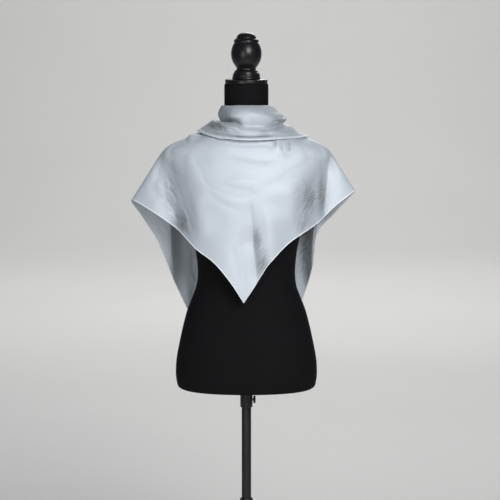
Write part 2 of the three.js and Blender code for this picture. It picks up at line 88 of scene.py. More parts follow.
# The drape's lines, from the front corner by the left of the picture, the back and the right: the
# turn in degrees and the height at which each leaves the form, its end on the hem, and the columns
# of mesh up to the next
HemStation = namedtuple("HemStation", "turn leaves x y z columns")
HEM_STATIONS = [
    HemStation(-90, 1215, -6, -133, 969, 12),
    HemStation(-97, 1216, -40, -132, 1021, 12),
    HemStation(-106, 1222, -77, -118, 1063, 18),
    HemStation(-118, 1238, -118, -94, 1091, 20),
    HemStation(-136, 1268, -152, -66, 1121, 26),
    HemStation(-160, 1312, -186, -42, 1147, 22),
    HemStation(-171, 1321, -232, -18, 1177, 16),
    HemStation(-180, 1323, -276, 15, 1196, 14),
    HemStation(-189, 1321, -250, 46, 1150, 14),
    HemStation(-198, 1314, -216, 68, 1092, 14),
    HemStation(-208, 1300, -190, 90, 1027, 14),
    HemStation(-220, 1284, -168, 121, 963, 14),
    HemStation(-236, 1262, -126, 127, 880, 14),
    HemStation(-252, 1246, -68, 129, 812, 12),
    HemStation(-270, 1240, -2, 130, 786, 12),
    HemStation(-288, 1246, 62, 129, 812, 14),
    HemStation(-304, 1262, 112, 127, 880, 14),
    HemStation(-320, 1284, 146, 119, 963, 12),
    HemStation(-332, 1300, 162, 96, 1030, 14),
    HemStation(-342, 1314, 172, 76, 1110, 14),
    HemStation(-351, 1323, 214, 46, 1161, 14),
    HemStation(-360, 1325, 261, 15, 1218, 14),
    HemStation(-369, 1323, 218, -16, 1189, 20),
    HemStation(-380, 1314, 180, -38, 1153, 28),
    HemStation(-404, 1268, 140, -70, 1130, 22),
    HemStation(-422, 1238, 98, -95, 1104, 18),
    HemStation(-434, 1222, 56, -118, 1064, 14),
    HemStation(-443, 1216, 24, -132, 1014, 14),
    HemStation(-450, 1215, -6, -133, 969, 0),
]
# The stations at the two fold tips
LEFT_TIP, RIGHT_TIP = 7, 21
# Where the drape and the cowl meet on the neck
YOKE_Z = 1391
# Rows and columns of the cloth's mesh
RESTING_ROWS, HANGING_ROWS = 42, 62
WRAP_ROWS, COLLAR_ROWS, COWL_COLUMNS = 54, 36, 300
# The rows over which the drape's tautness on the form fades, how far the cloth is let out before
# it is pulled, and the rounds and steps of pulling
TAUT_ROWS = (RESTING_ROWS + 4, RESTING_ROWS + 34)
LET_OUT, TAUT_ROUNDS, TAUT_STEPS = 0.014, 5, 6
# How much of the ease is kept under the taut and under the creased cloth
TAUT_EASE, CREASED_EASE = 0.8, 0.7
# The distance from a fold tip over which creases begin, how much they move forwards or backwards
# beside along the normal, and the stretch of the back's sides where they turn wholly backwards
TIP_REACH, FORTH = 60, 0.9
BACK_SIDES = (110, 145)

# Creases, each from a through b to c in front view: half-width, depth outwards, lean to one side
# and power, which is 2 for a round crease and less for a sharp one
Crease = namedtuple("Crease", "ax az bx bz cx cz wide deep lean power", defaults=[2])
# A crease's points, how far it reaches in half-widths, and the shares of it that fade in and out
CREASE_POINTS, CREASE_REACH = 15, 6
FADE_IN, FADE_OUT = (-0.08, 0.3), (0.75, 1.1)
FRONT_CREASES = [
    # the trough under the left wing and the crinkles that fan out from it over the bust's side
    Crease(-198, 1300, -188, 1225, -164, 1125, 34, -12, 0.1),
    Crease(-178, 1192, -166, 1138, -148, 1080, 18, -7, 0.2),
    Crease(-124, 1230, -110, 1175, -102, 1110, 22, 6, 0.2),
    Crease(-196, 1270, -184, 1226, -168, 1190, 3.6, -0.8, 0.5, 1.6),
    Crease(-178, 1256, -166, 1230, -150, 1198, 3.4, -0.6, 0.5, 1.6),
    Crease(-195, 1214, -179, 1172, -154, 1130, 3.6, -1, 0.5, 1.6),
    Crease(-177, 1192, -158, 1150, -134, 1116, 3.6, -1, 0.4, 1.6),
    Crease(-146, 1209, -131, 1186, -122, 1160, 3.6, -0.6, 0.4, 1.6),
    Crease(-160, 1214, -145, 1176, -126, 1136, 3.6, -0.8, 0.5, 1.6),
    Crease(-184, 1222, -168, 1176, -146, 1142, 4, 0.5, 0.3),
    Crease(-236, 1238, -222, 1222, -212, 1200, 11, -1.8, 0),
    # the sharp crease at the right wing, with its broader trough and crinkles
    Crease(200, 1310, 200, 1246, 185, 1146, 6, -4, -0.3, 1.5),
    Crease(201, 1302, 199, 1236, 184, 1136, 30, -15, -0.35, 1.6),
    Crease(160, 1270, 156, 1220, 146, 1150, 16, -3, 0.2),
    Crease(110, 1250, 106, 1200, 98, 1140, 22, 6, -0.2),
    Crease(119, 1178, 139, 1199, 169, 1233, 4.5, -1.7, 0.3),
    Crease(125, 1163, 152, 1190, 179, 1203, 4.5, -1.6, 0.3),
    Crease(138, 1258, 147, 1229, 135, 1195, 5, -1.4, 0.3),
    Crease(157, 1240, 166, 1212, 160, 1180, 4.5, -1.4, 0),
    Crease(131, 1190, 151, 1208, 172, 1220, 5, 1.1, 0),
    # the fold over the waist, which ends at the hem
    Crease(8, 1212, 14, 1150, 18, 1086, 15, -4, -0.5, 1.4),
    Crease(14, 1146, 20, 1076, 30, 996, 17, -8, -0.5, 1.4),
    Crease(48, 1196, 55, 1120, 65, 1030, 22, 7.5, 0.4),
    Crease(-14, 1012, -24, 1058, -34, 1104, 8, -1.3, 0),
    Crease(0, 1004, 3, 1050, -1, 1100, 7, 1.2, 0),
    # soft swags between the shoulders
    Crease(-134, 1322, -84, 1276, -20, 1262, 17, -3.4, 0.3, 1.7),
    Crease(-112, 1276, -52, 1232, 40, 1222, 18, -3.4, 0.3, 1.7),
    Crease(-100, 1300, -40, 1256, 40, 1248, 14, 1.9, 0),
    Crease(150, 1300, 98, 1262, 30, 1240, 15, -2.6, 0.2, 1.7),
    Crease(-44, 1322, 12, 1304, 70, 1302, 9, -2.2, 0.2, 1.7),
    Crease(-96, 1240, -60, 1204, -12, 1186, 10, -1.3, 0.2, 1.7),
    Crease(-60, 1290, -18, 1272, 30, 1268, 8, -1.1, 0.2, 1.7),
    # the pleat that starts under the collar's right
    Crease(74, 1354, 74, 1338, 72, 1322, 7, 3.5, 0.2),
    Crease(84, 1358, 89, 1336, 98, 1311, 9, -7, 0.5, 1.6),
    Crease(63, 1352, 59, 1341, 53, 1330, 6.5, -3.5, 0, 1.6),
    # the cloth tucked under the collar's edge
    Crease(-80, 1350, -5, 1339.5, 70, 1343, 4.5, -5, 0),
]
BACK_CREASES = [
    # the folds that show inside at both sides, each with one steep flank
    Crease(-185, 1180, -182, 1075, -177, 960, 30, -22, -0.42, 1.2),
    Crease(167, 1160, 161, 1080, 158, 980, 22, -22, 0.3, 1.2),
    Crease(-127, 1110, -127, 1050, -134, 985, 6, -3, 0.2),
    # the folds that hang down the back
    Crease(-120, 1180, -124, 1040, -130, 860, 16, 9, 0.2),
    Crease(-88, 1180, -87, 1000, -86, 800, 15, -8, -0.2),
    Crease(-34, 1160, -32, 980, -30, 760, 20, 10, 0.25),
    Crease(26, 1140, 28, 980, 30, 760, 17, -7, 0),
    Crease(78, 1190, 81, 1000, 84, 800, 16, 9, -0.25),
    Crease(118, 1180, 120, 1040, 122, 860, 14, -7, 0.2),
    Crease(-60, 1290, -58, 1230, -50, 1120, 14, 3.5, 0.2),
    Crease(52, 1300, 54, 1220, 48, 1130, 13, -3, 0.2),
    Crease(-150, 1310, -90, 1262, -10, 1246, 18, -2.6, 0.3),
    Crease(140, 1306, 84, 1266, 0, 1256, 17, -2.2, 0.3),
    Crease(-120, 1262, -40, 1214, 60, 1206, 20, -1.8, 0.3),
]
# the ridge by the collar's left end, over the shoulder's top
SHOULDER_CREASES = [
    Crease(-112, 1363, -124, 1355, -140, 1343, 7.5, 8, 0, 1.7),
]

# Crushed places: middle, half-sizes, direction in degrees, the small creases' length, depth and
# count, and how much painted shade darkens the satin's colour there
Crush = namedtuple("Crush", "x z wide tall lie length deep count dull")
# How close to the middle the small creases are, how their direction varies, and their seeds
CRUSH_CLOSE, CRUSH_TURN = 1.6, 15
FRONT_SEED, BACK_SEED, COWL_SEED = 3, 5, 11
# painted shade, in the last field: the dark crinkled zones under both wings, the right wing's
# crease, the pleat's hollows and the waist fold
FRONT_CRUSHES = [
    Crush(-180, 1206, 15, 44, -62, 26, 0.55, 60, 0.2),
    Crush(-158, 1146, 22, 28, -54, 24, 0.6, 60, 1),
    Crush(-190, 1300, 7, 22, -80, 16, 0.5, 7, 0.1),
    Crush(-226, 1226, 16, 16, -50, 20, 0.4, 5, 0.1),
    Crush(152, 1206, 24, 40, 48, 22, 0.8, 44, 0.92),
    Crush(134, 1146, 16, 22, 52, 20, 0.7, 22, 0.6),
    Crush(185, 1210, 10, 58, 78, 18, 0.7, 20, 1),
    Crush(118, 1345, 20, 8, -20, 16, 0.4, 5, 0.1),
    Crush(94, 1331, 6, 13, -65, 14, 0.15, 1, 0.6),
    Crush(66, 1341, 5, 7, -60, 10, 0.15, 1, 0.5),
    Crush(27, 1118, 11, 34, -78, 26, 0.2, 3, 0.8),
    Crush(38, 1060, 14, 32, -78, 26, 0.3, 5, 0.95),
]
# painted shade, in the last field: mostly the dark hollow inside the back at the right
BACK_CRUSHES = [
    Crush(-128, 1040, 8, 66, 84, 26, 1.3, 30, 0.1),
    Crush(-205, 1120, 14, 34, -60, 22, 0.5, 10, 0.1),
    Crush(144, 1064, 17, 84, 86, 26, 0.4, 12, 1),
    Crush(126, 1200, 26, 50, 60, 26, 0.8, 20, 0.15),
    Crush(-120, 1220, 26, 46, -60, 26, 0.8, 20, 0.15),
]
# painted shade, in the last field: the wrap's dark left side and its collar lobe, the hollow at the
# right, and the groove over the collar's rolled edge, where the last three places are almost only
# painted shade
COWL_CRUSHES = [
    Crush(-72, 1378, 24, 8, -22, 14, 0.8, 30, 0.9),
    Crush(-40, 1391, 17, 6, 4, 9, 0.3, 20, 0.9),
    Crush(-58, 1412, 14, 14, -30, 9, 0.2, 6, 0.5),
    Crush(76, 1391, 13, 7, 8, 11, 0.8, 22, 0.7),
    Crush(74, 1371, 30, 6, 6, 16, 0.4, 8, 0.2),
    Crush(-8, 1357, 30, 2.5, 0, 16, 0.2, 2, 0.8),
    Crush(-58, 1361, 18, 2.5, 0, 16, 0.2, 1, 0.8),
    Crush(42, 1358, 18, 2.5, 0, 16, 0.2, 1, 0.8),
]

# The cowl's sections at turns in degrees, in radius and height: its top, the wrap's brow, swell
# and foot, and the collar's crest, tuck and hem
CowlRow = namedtuple(
    "CowlRow", "turn top_z brow_z swell swell_z foot foot_z crest crest_z tuck tuck_z hem hem_z"
)
COWL_ROWS = [
    CowlRow(-180, 1424, 1417, 67, 1405, 61.5, 1386, 77, 1390, 93, 1380, 116, 1364),
    CowlRow(-157, 1425, 1417, 65, 1403, 61.5, 1387, 83, 1388.5, 93, 1373, 108, 1359),
    CowlRow(-141, 1425.5, 1418, 66.5, 1402, 61.5, 1388, 85, 1387, 92, 1370, 103, 1355),
    CowlRow(-126, 1426, 1420, 74, 1402, 62, 1389.5, 87, 1384.5, 91, 1367, 99, 1351.5),
    CowlRow(-117, 1426.5, 1421, 80.5, 1402, 63.5, 1390, 88, 1381, 90, 1366, 98, 1352),
    CowlRow(-107, 1427, 1422, 84, 1402, 67, 1388, 89, 1377, 90, 1363.5, 97, 1350.5),
    CowlRow(-98, 1427, 1422, 84.5, 1403, 80, 1382.5, 90, 1371, 92, 1361.5, 97, 1349.5),
    CowlRow(-80, 1427, 1422, 84, 1406, 82, 1380, 91, 1368, 94, 1360, 98, 1349),
    CowlRow(-62, 1426.5, 1420, 85, 1403, 84, 1379, 93, 1368.5, 97.5, 1360, 102, 1349.5),
    CowlRow(-45, 1426, 1415, 89, 1393, 83, 1378, 95, 1374, 101, 1360.5, 107, 1349.5),
    CowlRow(-25, 1424.5, 1410, 92, 1389, 83, 1378.5, 99, 1375, 107, 1361, 118, 1349.5),
    CowlRow(-8, 1423, 1408, 95, 1389, 85, 1380, 101, 1377, 120, 1362.5, 142, 1350.5),
    CowlRow(4, 1423, 1408, 94, 1390, 85, 1380.5, 102, 1377, 122, 1362, 150, 1351),
    CowlRow(20, 1422.5, 1409, 85, 1396, 80, 1381.5, 96, 1377, 114, 1362, 138, 1350.5),
    CowlRow(40, 1422, 1412, 76, 1401, 77, 1383, 88, 1377.5, 104, 1362, 122, 1350),
    CowlRow(90, 1421, 1415, 71, 1402, 72, 1385, 83, 1377, 91, 1361, 99, 1345),
    CowlRow(140, 1422, 1416, 68, 1402, 66, 1384.5, 80, 1382, 95, 1365, 111, 1354),
]
COWL_CREASES = [
    # the sharp fold at the right, with the crushed hollow over it
    Crease(106, 1370, 72, 1375.5, 34, 1371, 3, -5, 0.3, 1.4),
    Crease(96, 1384, 78, 1389, 56, 1388, 4.5, -3.4, 0.2, 1.6),
    Crease(94, 1393, 80, 1398, 64, 1399, 3.4, -2, 0, 1.6),
    Crease(98, 1389, 84, 1393.5, 70, 1395, 2.8, 1.6, 0),
    Crease(50, 1366, 76, 1363, 108, 1356, 6, 2, 0.3),
    # the groove over the collar's rolled edge
    Crease(-90, 1367, -8, 1356.5, 78, 1358, 3, -6.5, -0.4, 1.4),
    # the turned-in cloth at the left
    Crease(-66, 1386, -46, 1379, -22, 1374.5, 2.8, 2.4, 0),
    Crease(-92, 1376, -66, 1370, -34, 1362, 3.4, -2.4, 0, 1.6),
    Crease(-84, 1384, -66, 1378, -48, 1371, 3, -1.6, 0, 1.6),
    Crease(-30, 1420, -14, 1407, 14, 1401, 9, -1.4, 0),
]
COWL_BACK_CREASES = [
    Crease(-58, 1398, -10, 1392, 50, 1399, 5, -1.8, 0.2),
    Crease(-80, 1374, -20, 1366, 60, 1372, 5, 1.6, 0),
    Crease(-20, 1420, 10, 1404, 44, 1388, 6, -1.5, 0.3),
]
# The wrap's inner side, from the yoke up the neck to its top
YOKE_LIFT = 0.6
NECK_RADIUS, NECK_Z = 55, 1407
UNDER_TOP_RADIUS, UNDER_TOP = 54.7, 6
TOP_RADIUS = 58
# The places of the top and of the wrap's foot among a section's knots
TOP_KNOT, FOOT_KNOT = 3, 7
# How high the cowl lies over the drape, and how far back its crushed places and their painted shade
# show
COWL_LIFT, CRUSH_AND_SHADE_TO_Y = 1.6, 20
# The straight lifts of the cowl off the form: their size and count
LIFT, LIFTS = 0.3, 80

# The rolled hem's sides, their breadth, how far it passes the cloth's edge, and its two waves:
# share, length and shift
HEM_SIDES, HEM_SIDE, HEM_OVER = 10, 1.5, 0.8
HEM_WAVES = [(0.07, 3.1, 0), (0.05, 1.37, 1)]
# The widths of the two hems, in hem radii
DRAPE_HEM_WIDE, COLLAR_HEM_WIDE = 1.15, 2.4

# The torso's columns, its rounded lower and upper edges as height and share of the section, and
# the heights and counts of the rings between them
TORSO_COLUMNS = 96
LOWER_EDGE = [(741, 0.9), (741.5, 0.935), (743, 0.96), (746, 0.985)]
UPPER_EDGE = [(1472.5, 0.992), (1474.6, 0.978), (1475.8, 0.955), (1476.2, 0.93)]
BODY_RINGS, NECK_RINGS = (750, YOKE_Z, 108), (1398, 1470, 10)

# Turned and round pieces: rows of radius and height
Ring = namedtuple("Ring", "radius z")
SOCKET_RINGS = [
    Ring(11.8, 694), Ring(14.9, 694), Ring(14.9, 740.7), Ring(11.8, 740.7), Ring(11.8, 694),
]
POLE_RINGS = [Ring(11.5, 281), Ring(11.5, 740.7)]
CLAMP_RINGS = [
    Ring(11.8, 452.3), Ring(13.8, 452.3), Ring(13.8, 436), Ring(15.6, 436), Ring(15.6, 465),
    Ring(14.4, 468), Ring(11.8, 468), Ring(11.8, 452.3),
]
TUBE_RINGS = [
    Ring(11.8, 24.3), Ring(13.5, 24.3), Ring(13.5, 452), Ring(11.8, 452), Ring(11.8, 24.3),
]
FOOT_RINGS = [
    Ring(164, 0), Ring(165, 1), Ring(165, 6), Ring(161, 8), Ring(34, 9), Ring(26, 12), Ring(22, 24),
]
CAP_RINGS = [Ring(50.5, 1476.5), Ring(50.5, 1486)]
FINIAL_RINGS = [
    Ring(33.0, 1486.3), Ring(33.8, 1487.2), Ring(34.0, 1488.8), Ring(33.4, 1490.6),
    Ring(32.4, 1491.6), Ring(32.2, 1492.6), Ring(32.5, 1493.6), Ring(32.6, 1495.5),
    Ring(32.0, 1497.4), Ring(31.0, 1498.4), Ring(30.6, 1499.4), Ring(30.6, 1500.4),
    Ring(30.2, 1501.6), Ring(28.9, 1502.3), Ring(28.4, 1504.0), Ring(27.6, 1505.8),
    Ring(25.4, 1507.4), Ring(23.4, 1509.2), Ring(22.7, 1511.2), Ring(23.2, 1513.0),
    Ring(25.0, 1515.6), Ring(27.4, 1518.8), Ring(30.0, 1522.8), Ring(32.6, 1527.8),
    Ring(34.6, 1533.4), Ring(35.8, 1539.4), Ring(36.3, 1545.6), Ring(36.0, 1552.0),
    Ring(34.9, 1558.0), Ring(33.0, 1564.0), Ring(30.8, 1569.0), Ring(29.6, 1571.2),
    Ring(28.5, 1571.9), Ring(28.6, 1572.8), Ring(29.3, 1574.0), Ring(29.5, 1576.0),
    Ring(29.0, 1578.4), Ring(27.6, 1580.4), Ring(25.2, 1581.6), Ring(23.8, 1582.6),
    Ring(23.4, 1583.8), Ring(22.9, 1585.4), Ring(22.0, 1587.4), Ring(20.6, 1589.8),
    Ring(18.2, 1592.2), Ring(14.6, 1594.4), Ring(9.8, 1596.0), Ring(4.6, 1596.8),
]
# A thumb screw's shank, its length, the chamfer of the head in radius and height, and its flutes
SHANK_RADIUS, SHANK = 3, 1.5
CHAMFER, CHAMFER_RISE = 1.2, 0.9
FLUTES, FLUTE_SHARE = 12, 0.05

# The studio, in metres. The sweep: half its width, its front and back, its height and its bend
SWEEP_WIDE, SWEEP_FRONT, SWEEP_BACK, SWEEP_TALL = 18, -9, 10, 10
SWEEP_BEND, BEND_STEPS = 2, 12
# The soft boxes: the setting of the power, width and height, place, and the point looked at
SoftBox = namedtuple("SoftBox", "name power size place target")
SOFT_BOXES = [
    SoftBox("key_box", "key_power", (1.4, 1.2), (0.98, -2.8, 2.6), (0, 0, 1.2)),
    SoftBox("fill_box", "fill_power", (1.0, 1.5), (-1.25, -2.9, 1.4), (0, 0, 1.2)),
    SoftBox("back_box", "back_power", (1.2, 1.2), (0.5, 2.7, 2.7), (0, 0, 1.1)),
    SoftBox("wall_box", "wall_power", (4, 2), (0.3, 5.2, 5.2), (0.3, 7.6, 0)),
]
AIR_COLOUR, AIR_STRENGTH = (0.75, 0.87, 1, 1), 0.12
# The camera: lens and sensor in millimetres, the point looked at, distance and pitch in degrees
LENS, SENSOR = 150, 36
CAMERA_TARGET, CAMERA_DISTANCE, CAMERA_PITCH = (0.0087, 0, 1.077), 5.0, 7.5


def column(rows, name):
    """One named column of a table, as an array."""
    return np.array([getattr(row, name) for row in rows], float)


def smooth(knots, values, places):
    """The cubic curve through values at knots, read at places."""
    knots, values, places = (np.asarray(a, float) for a in (knots, values, places))
    length = np.diff(knots)
    slope = np.diff(values) / length
    inner = (slope[:-1] * length[1:] + slope[1:] * length[:-1]) / (length[:-1] + length[1:])
    slopes = np.concatenate([slope[:1], inner, slope[-1:]])
    i = np.clip(np.searchsorted(knots, places, side="left") - 1, 0, len(length) - 1)
    s, span = (places - knots[i]) / length[i], length[i]
    leaving = values[i] * (1 + 2 * s) * (1 - s) ** 2 + slopes[i] * span * s * (1 - s) ** 2
    arriving = values[i + 1] * (3 - 2 * s) * s**2 - slopes[i + 1] * span * (1 - s) * s**2
    return leaving + arriving


def smoothstep(low, high, x):
    """A soft step from 0 at low to 1 at high."""
    t = np.clip((x - low) / (high - low), 0, 1)
    return t * t * (3 - 2 * t)


def line_places(points):
    """How far along a line of points each one is."""
    return np.concatenate([[0], np.cumsum(np.linalg.norm(np.diff(points, axis=0), axis=1))])


# The form


def form_section(z, at_back, out):
    """Half-width, depth and squareness of the surface that lies outside the form by out."""
    heights, step = column(FORM_ROWS, "z"), 2

    def grown(name):
        values = column(FORM_ROWS, name)
        over, under = smooth(heights, values, z + step), smooth(heights, values, z - step)
        return smooth(heights, values, z) + out * np.hypot(1, (over - under) / (2 * step))

    depth = np.where(at_back, grown("back"), grown("front"))
    return grown("half"), depth, smooth(heights, column(FORM_ROWS, "square"), z)


def form_point(turn, z, out):
    """Points of that surface at turns in degrees and heights."""
    turn, z = np.broadcast_arrays(np.asarray(turn, float), np.asarray(z, float))
    across, forth = np.cos(np.radians(turn)), np.sin(np.radians(turn))
    half, depth, square = form_section(z, forth > 0, out)
    reach = (np.abs(across) ** square + np.abs(forth) ** square) ** (-1 / square)
    return np.stack([half * reach * across, depth * reach * forth, z], -1)


def share_of_form(points, out):
    """How far out points are, as a share of that surface's distance from the axis."""
    half, depth, square = form_section(points[..., 2], points[..., 1] > 0, out)
    inside = (np.abs(points[..., 0]) / half) ** square + (np.abs(points[..., 1]) / depth) ** square
    return inside ** (1 / square)


def clear_of_form(points, out):
    """The points, pushed level out of the form where they are in it."""
    push = 1 / np.minimum(share_of_form(points, out), 1)
    return points * np.stack([push, push, np.ones_like(push)], -1)


def lifted_off_form(points, out, where):
    """The points, lifted straight out of the form where they are in it."""
    lifted = points.copy()
    for _ in range(LIFTS):
        low = where & (share_of_form(lifted, out) < 1)
        lifted[..., 2] += LIFT * low
    return lifted


# Cloth


def evenly(points, count):
    """Points at equal distances along a line of points."""
    place = line_places(points)
    at = np.linspace(0, place[-1], count)
    return np.stack([np.interp(at, place, points[:, k]) for k in range(3)], -1)


def drape_line(station, ease):
    """One line of the drape from the neck to the hem: it lies on the form, then hangs."""
    samples, bow = 160, 0.6
    heights = np.linspace(YOKE_Z, station.leaves, samples)
    resting = evenly(form_point(station.turn, heights, ease), RESTING_ROWS + 1)
    start, end = resting[-1], np.array([station.x, station.y, station.z], float)
    straight = end - start
    leaving = start - resting[-2]
    leaving *= bow * np.linalg.norm(straight) / np.linalg.norm(leaving)
    s = np.linspace(0, 1, HANGING_ROWS + 1)[1:, None]
    hanging = start + straight * s + (leaving - straight) * s * (1 - s) ** 2
    return np.concatenate([resting, hanging])


def grid_normals(grid):
    """Outward normals of a closed loop's grid of points, columns first."""
    along = np.roll(grid, -1, 0) - np.roll(grid, 1, 0)
    down = np.gradient(grid, axis=1)
    normals = np.cross(along, down)
    return normals / np.maximum(np.linalg.norm(normals, axis=-1, keepdims=True), 1e-9)


def crease_path(crease):
    """Points of a crease's line in front view."""
    t = np.linspace(0, 1, CREASE_POINTS)[:, None]
    a, b, c = np.array(crease[:6], float).reshape(3, 2)
    return a * (1 - t) * (1 - 2 * t) + b * 4 * t * (1 - t) + c * t * (2 * t - 1)


def crease_depth(creases, points):
    """How far the creases move points, by their distance from each crease's line in front view."""
    flat = points[..., [0, 2]]
    depth = np.zeros(flat.shape[:-1])
    for crease in creases:
        path = crease_path(crease)
        reach = CREASE_REACH * crease.wide / crease.power
        near = np.all((flat > path.min(0) - reach) & (flat < path.max(0) + reach), -1)
        spot = flat[near][:, None, :]
        step = np.diff(path, axis=0)
        length = (step**2).sum(-1)
        t = ((spot - path[:-1]) * step).sum(-1) / length
        t[:, 1:] = np.maximum(t[:, 1:], 0)
        t[:, :-1] = np.minimum(t[:, :-1], 1)
        off = spot - (path[:-1] + t[..., None] * step)
        far = np.linalg.norm(off, axis=-1)
        best = far.argmin(1)
        pick = np.arange(len(best))
        side = np.sign(step[best, 0] * off[pick, best, 1] - step[best, 1] * off[pick, best, 0])
        along = (best + t[pick, best]) / len(step)
        wide = crease.wide * (1 + crease.lean * side)
        fade = smoothstep(*FADE_IN, along) * (1 - smoothstep(*FADE_OUT, along))
        depth[near] += crease.deep * fade * np.exp(-((far[pick, best] / wide) ** crease.power))
    return depth


def crinkles(crushes, seed):
    """The small uneven creases of the crushed places."""
    random = np.random.default_rng(seed)
    made = []
    for crush in crushes:
        for _ in range(crush.count):
            x = crush.x + crush.wide * random.normal() / CRUSH_CLOSE
            z = crush.z + crush.tall * random.normal() / CRUSH_CLOSE
            turn = math.radians(crush.lie + CRUSH_TURN * random.normal())
            half = crush.length * random.uniform(0.3, 0.75)
            bow = half * random.uniform(-0.3, 0.3)
            dx, dz = half * math.cos(turn), half * math.sin(turn)
            depth = crush.deep * random.uniform(0.4, 1) * (1 if random.random() > 0.6 else -1)
            made.append(Crease(
                x - dx, z - dz, x - bow * dz / half, z + bow * dx / half, x + dx, z + dz,
                random.uniform(2.4, 4.8), depth, random.uniform(-0.45, 0.45),
            ))
    return made


def crush_and_shade_share(crushes, points):
    """How crushed the cloth is at points, and how much shade is painted there, from 0 to 1."""
    share = np.zeros(points.shape[:-1])
    for crush in crushes:
        across = (points[..., 0] - crush.x) / crush.wide
        up = (points[..., 2] - crush.z) / crush.tall
        share += np.exp(-(across**2 + up**2)) * crush.dull
    return np.minimum(share, 1)


def drape_lines(ease):
    """The smooth drape as one loop of lines, in millimetres.

    With it come the lines' places along the hem and those of the two fold tips.
    """
    lines = np.stack([drape_line(station, ease) for station in HEM_STATIONS])
    places = line_places(lines[:, -1])
    at = np.concatenate([
        np.linspace(places[i], places[i + 1], station.columns, endpoint=False)
        for i, station in enumerate(HEM_STATIONS[:-1])
    ])
    grid = np.stack([
        np.stack([smooth(places, lines[:, row, k], at) for k in range(3)], -1)
        for row in range(lines.shape[1])
    ], 1)
    return grid, at, places[[LEFT_TIP, RIGHT_TIP]]


def drawn_taut(grid, ease):
    """The drape's lines, drawn taut where they rest on the form."""
    taut = 1 - smoothstep(*TAUT_ROWS, np.arange(grid.shape[1]))[1:-1, None]
    grid[:, 1:-1, :2] *= 1 + LET_OUT * taut
    for _ in range(TAUT_ROUNDS):
        for _ in range(TAUT_STEPS):
            middle = (grid[:, :-2] + grid[:, 2:]) / 2
            grid[:, 1:-1] += 0.5 * taut * (middle - grid[:, 1:-1])
        grid = clear_of_form(grid, ease * TAUT_EASE)
    return grid


def drape_grid(ease):
    """The creased drape as one loop of lines, in millimetres, and each side's crush and painted
    shade.
    """
    grid, at, tips = drape_lines(ease)
    grid = drawn_taut(grid, ease)
    at_back = ((at > tips[0]) & (at < tips[1]))[:, None]
    to_tip = np.abs(at[:, None] - tips).min(1)[:, None]
    depth = np.where(
        at_back,
        crease_depth(BACK_CREASES + crinkles(BACK_CRUSHES, BACK_SEED), grid),
        crease_depth(FRONT_CREASES + crinkles(FRONT_CRUSHES, FRONT_SEED), grid),
    )
    depth *= smoothstep(0, TIP_REACH, to_tip)
    depth += crease_depth(SHOULDER_CREASES, grid)
    inside = np.where(
        at_back, crush_and_shade_share(BACK_CRUSHES, grid), crush_and_shade_share(FRONT_CRUSHES, grid),
    )
    share = np.stack([inside * ~at_back, inside])
    level = 1 - smoothstep(*BACK_SIDES, np.abs(grid[..., 0])) * at_back
    forth = np.where(at_back, 1, -1)[..., None] * [0, FORTH, 0]
    outwards = grid_normals(grid) * level[..., None] + forth
    outwards /= np.linalg.norm(outwards, axis=-1, keepdims=True)
    grid = grid + outwards * depth[..., None]
    return clear_of_form(grid, ease * CREASED_EASE), share


def cowl_knots(turn, ease):
    """Radius and height of the cowl's section at one turn, from the yoke inside to the hem."""
    loop = [row._replace(turn=row.turn + lap) for lap in (-360, 0) for row in COWL_ROWS]
    turns = column(loop, "turn")
    at = {name: float(smooth(turns, column(loop, name), turn)) for name in CowlRow._fields[1:]}
    yoke = form_point(turn, YOKE_Z, ease)
    swell, foot = at["swell"], at["foot"]
    return np.array([
        [math.hypot(yoke[0], yoke[1]), YOKE_Z + YOKE_LIFT],
        [NECK_RADIUS, NECK_Z],
        [UNDER_TOP_RADIUS, at["top_z"] - UNDER_TOP],
        [TOP_RADIUS, at["top_z"]],
        [(TOP_RADIUS + swell) / 2, at["brow_z"]],
        [swell, at["swell_z"]],
        [(swell + foot) / 2 + 1, (at["swell_z"] + at["foot_z"]) / 2],
        [foot, at["foot_z"]],
        [at["crest"], at["crest_z"]],
        [at["tuck"], at["tuck_z"]],
        [at["hem"], at["hem_z"]],
    ])


def cowl_grid(ease):
    """The creased cowl as a loop of sections, in millimetres, and each side's crush and painted
    shade.
    """
    grid, outside = [], []
    for c in range(COWL_COLUMNS):
        turn = -360 * c / COWL_COLUMNS
        knots = cowl_knots(turn, ease)
        place = line_places(knots)
        at = np.concatenate([
            np.linspace(0, place[FOOT_KNOT], WRAP_ROWS, endpoint=False),
            np.linspace(place[FOOT_KNOT], place[-1], COLLAR_ROWS + 1),
        ])
        radius, z = smooth(place, knots[:, 0], at), smooth(place, knots[:, 1], at)
        level = np.array([math.cos(math.radians(turn)), math.sin(math.radians(turn))])
        grid.append(np.column_stack([radius[:, None] * level, z]))
        outside.append(at > place[TOP_KNOT])
    grid, outside = np.stack(grid), np.stack(outside)
    front = COWL_CREASES + crinkles(COWL_CRUSHES, COWL_SEED)
    depth = np.where(
        grid[..., 1] < 0, crease_depth(front, grid), crease_depth(COWL_BACK_CREASES, grid),
    )
    grid = grid + grid_normals(grid) * (depth * outside)[..., None]
    share = crush_and_shade_share(COWL_CRUSHES, grid) * (grid[..., 1] < CRUSH_AND_SHADE_TO_Y)
    return lifted_off_form(grid, ease + COWL_LIFT, outside), np.stack([share, share])


def new_piece(name, points, faces):
    """A piece with a smooth mesh of points in millimetres and faces."""
    mesh = bpy.data.meshes.new(name)
    mesh.from_pydata((points * MM).tolist(), [], faces)
    mesh.shade_smooth()
    piece = bpy.data.objects.new(name, mesh)
    bpy.context.scene.collection.objects.link(piece)
    return piece


def lay_out(piece, uv):
    """Gives a piece its places on the cloth, in metres, a pair for each face's corner."""
    piece.data.uv_layers.new(name="cloth").data.foreach_set("uv", uv)


